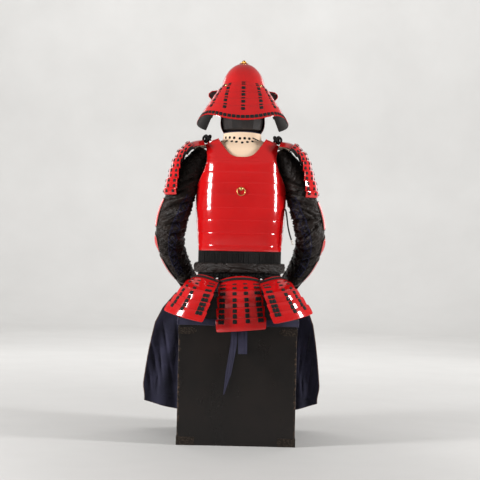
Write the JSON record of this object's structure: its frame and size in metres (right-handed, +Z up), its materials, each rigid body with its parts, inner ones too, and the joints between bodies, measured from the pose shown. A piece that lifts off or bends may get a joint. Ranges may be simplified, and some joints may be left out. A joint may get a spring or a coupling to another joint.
{
  "type": "samurai armour seated on its armour box",
  "caption": "Red lacquered suit of armour with helmet, shoulder guards, cloth sleeves and tassets, seated on a black lacquered box.",
  "frame": {"origin": "centre of the armour box's underside, on the floor", "axes": "+Z up, +Y the way the armour faces, +X towards its right arm"},
  "size_m": [0.7471, 0.6311, 1.5015],
  "materials": {
    "red_lacquer": "high gloss red lacquer",
    "black_lacquer": "worn black lacquer",
    "dark_bronze": "dark textured bronze",
    "gilt_brass": "gilt",
    "navy_cloth": "plain woven cotton",
    "dark_brown_cloth": "creased cloth with a soft sheen",
    "cream_cloth": "thick plain cloth",
    "black_cord": "flat braided cord",
    "dark_stand": "dark matt stain"
  },
  "bodies": {
    "armour": {"box_band": "navy_cloth", "box_body": "black_lacquer", "box_lid": "black_lacquer", "collar": "cream_cloth", "cuirass_back": "red_lacquer", "cuirass_front": "red_lacquer", "elbow_cap_left": "red_lacquer", "elbow_cap_right": "red_lacquer", "face_mask": "red_lacquer", "finial": "gilt_brass", "fitting_high_back_left": "dark_bronze", "fitting_high_back_right": "dark_bronze", "fitting_high_front_left": "dark_bronze", "fitting_high_front_right": "dark_bronze", "fitting_low_back_left": "dark_bronze", "fitting_low_back_right": "dark_bronze", "fitting_low_front_left": "dark_bronze", "fitting_low_front_right": "dark_bronze", "forearm_plate_left": "red_lacquer", "forearm_plate_right": "red_lacquer", "hand_guard_left": "red_lacquer", "hand_guard_right": "red_lacquer", "hanging_cords": "black_cord", "helmet_bowl": "red_lacquer", "inner_stand": "dark_stand", "neck_guard_1": "red_lacquer", "neck_guard_2": "red_lacquer", "neck_guard_3": "red_lacquer", "neck_guard_4": "red_lacquer", "neck_guard_5": "red_lacquer", "ring_stud": "gilt_brass", "sash": "dark_brown_cloth", "shoulder_guard_left": "red_lacquer", "shoulder_guard_right": "red_lacquer", "shoulder_knot_left": "black_cord", "shoulder_knot_right": "black_cord", "shoulder_pad_left": "cream_cloth", "shoulder_pad_right": "cream_cloth", "shoulder_strap_left": "red_lacquer", "shoulder_strap_right": "red_lacquer", "sleeve_left": "dark_brown_cloth", "sleeve_right": "dark_brown_cloth", "tasset_back": "red_lacquer", "tasset_back_left": "red_lacquer", "tasset_back_right": "red_lacquer", "tasset_front_1": "red_lacquer", "tasset_front_2": "red_lacquer", "tasset_front_3": "red_lacquer", "tasset_front_4": "red_lacquer", "thigh_guard_left": "navy_cloth", "thigh_guard_right": "navy_cloth", "throat_guard": "red_lacquer", "tie_long_tail": "navy_cloth", "tie_short_end": "navy_cloth", "turn_back_left": "red_lacquer", "turn_back_right": "red_lacquer", "upper_arm_plate_left": "red_lacquer", "upper_arm_plate_right": "red_lacquer", "visor": "red_lacquer"},
    "ring": {"back_ring": "gilt_brass"}
  },
  "joints": [
    {"name": "ring_hinge", "type": "hinge", "parent": "armour", "child": "ring", "pos_m": [0, -0.13367, 0.99138], "axis": [-1, 0, 0], "range_deg": [0, 90]}
  ]
}
